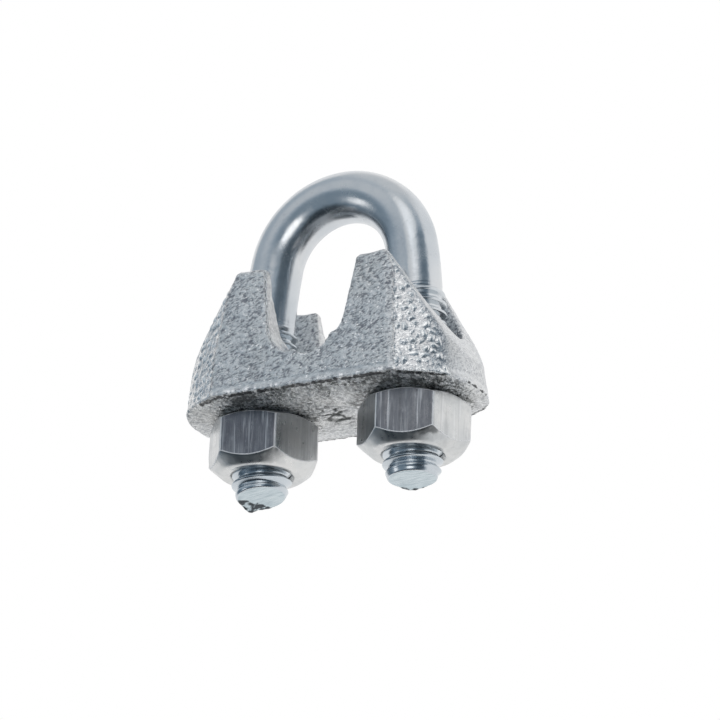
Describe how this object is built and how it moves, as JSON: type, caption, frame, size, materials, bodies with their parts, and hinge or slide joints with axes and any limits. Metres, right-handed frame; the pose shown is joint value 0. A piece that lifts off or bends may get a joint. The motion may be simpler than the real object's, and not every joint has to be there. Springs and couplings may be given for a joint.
{
  "type": "wire rope clip",
  "caption": "U-bolt wire rope clip: threaded round-bar bow through a cast saddle with a rope groove, clamped by hex nuts on its legs.",
  "frame": {"origin": "on the axis of the 8 mm rope that lies in the saddle's seat, halfway between the two legs", "axes": "+Z from the nuts towards the bow, +X from leg to leg, +Y along the rope"},
  "size_m": [0.0308, 0.0154, 0.0332],
  "materials": {
    "u_bolt": "bright blue-white zinc plating on round bar with rolled thread",
    "saddle": "rough hot-dip galvanised malleable casting",
    "nut": "zinc-plated steel with drawn flats"
  },
  "bodies": {
    "u_bolt": {"u_bolt": "u_bolt"},
    "saddle": {"saddle": "saddle"},
    "nut_left": {"nut_left": "nut"},
    "nut_right": {"nut_right": "nut"}
  },
  "joints": [
    {"name": "saddle_slide", "type": "slide", "parent": "u_bolt", "child": "saddle", "axis": [0, 0, 1], "range_m": [-0.003, 0.006]},
    {"name": "nut_left_spin", "type": "hinge", "parent": "saddle", "child": "nut_left", "pos_m": [-0.00825, 0, -0.01037], "axis": [0, 0, 1], "range_deg": [-1080, 2160]},
    {"name": "nut_right_spin", "type": "hinge", "parent": "saddle", "child": "nut_right", "pos_m": [0.00825, 0, -0.01037], "axis": [0, 0, 1], "range_deg": [-1080, 2160]}
  ],
  "couplings": [
    {"joint": "nut_left_spin", "follows": "saddle_slide", "rad_per_m": 6283.2},
    {"joint": "nut_right_spin", "follows": "saddle_slide", "rad_per_m": 6283.2}
  ]
}
